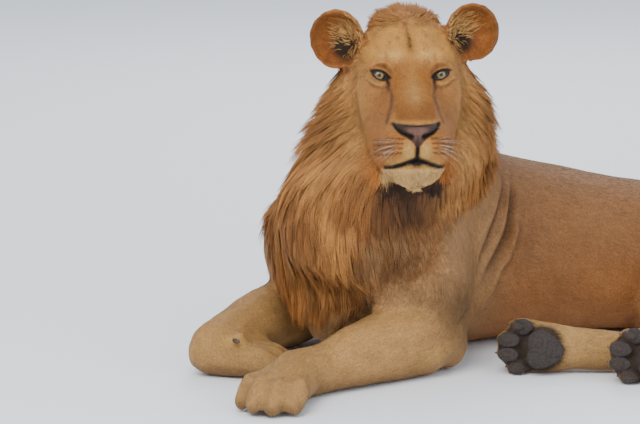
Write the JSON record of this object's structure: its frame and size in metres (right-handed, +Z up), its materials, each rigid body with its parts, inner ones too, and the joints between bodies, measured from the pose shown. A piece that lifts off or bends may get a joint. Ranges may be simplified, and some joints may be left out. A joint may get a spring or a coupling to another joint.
{
  "type": "lion",
  "caption": "Still, life-size figure of a young male lion lying down, head raised and turned to its left, short mane, both hind legs out to its left.",
  "frame": {"origin": "on the floor under the centre of the animal's bounding box", "axes": "+Z up; the forequarters face -Y; +X is the lion's left side, to which its head, hind legs and rump are turned"},
  "size_m": [1.0046, 1.667, 0.6876],
  "materials": {
    "coat": "short tawny fur",
    "face_coat": "very short tan fur",
    "mane": "long golden to rust hair",
    "dark_tuft": "long dark brown hair",
    "nose_skin": "damp, finely grained",
    "pad_skin": "dry and rough",
    "claw": "dark horn",
    "eye": "wet and clear"
  },
  "bodies": {
    "root": {"chest": "coat", "abdomen": "coat", "rump": "coat", "upper_arm_left": "coat", "upper_arm_right": "coat", "forearm_left": "coat", "forearm_right": "coat", "forepaw_left": "coat", "forepaw_right": "coat", "thigh_left": "coat", "thigh_right": "coat", "shank_left": "coat", "shank_right": "coat", "hind_foot_left": "coat", "hind_foot_right": "coat", "tail_base": "coat", "tail_middle": "coat", "tail_end": "coat", "head": "face_coat", "jaw": "face_coat", "ear_left": "face_coat", "ear_right": "face_coat", "neck_mane": "mane", "chest_mane": "mane", "tail_tuft": "dark_tuft", "nose": "nose_skin", "eye_left": "eye", "hind_pad_left_1": "pad_skin", "hind_claw_left_1": "claw", "hind_pad_left_2": "pad_skin", "hind_claw_left_2": "claw", "hind_pad_left_3": "pad_skin", "hind_claw_left_3": "claw", "hind_pad_left_4": "pad_skin", "hind_claw_left_4": "claw", "hind_pad_left_main": "pad_skin", "eye_right": "eye", "hind_pad_right_1": "pad_skin", "hind_claw_right_1": "claw", "hind_pad_right_2": "pad_skin", "hind_claw_right_2": "claw", "hind_pad_right_3": "pad_skin", "hind_claw_right_3": "claw", "hind_pad_right_4": "pad_skin", "hind_claw_right_4": "claw", "hind_pad_right_main": "pad_skin", "dewclaw_right": "claw"}
  },
  "joints": []
}
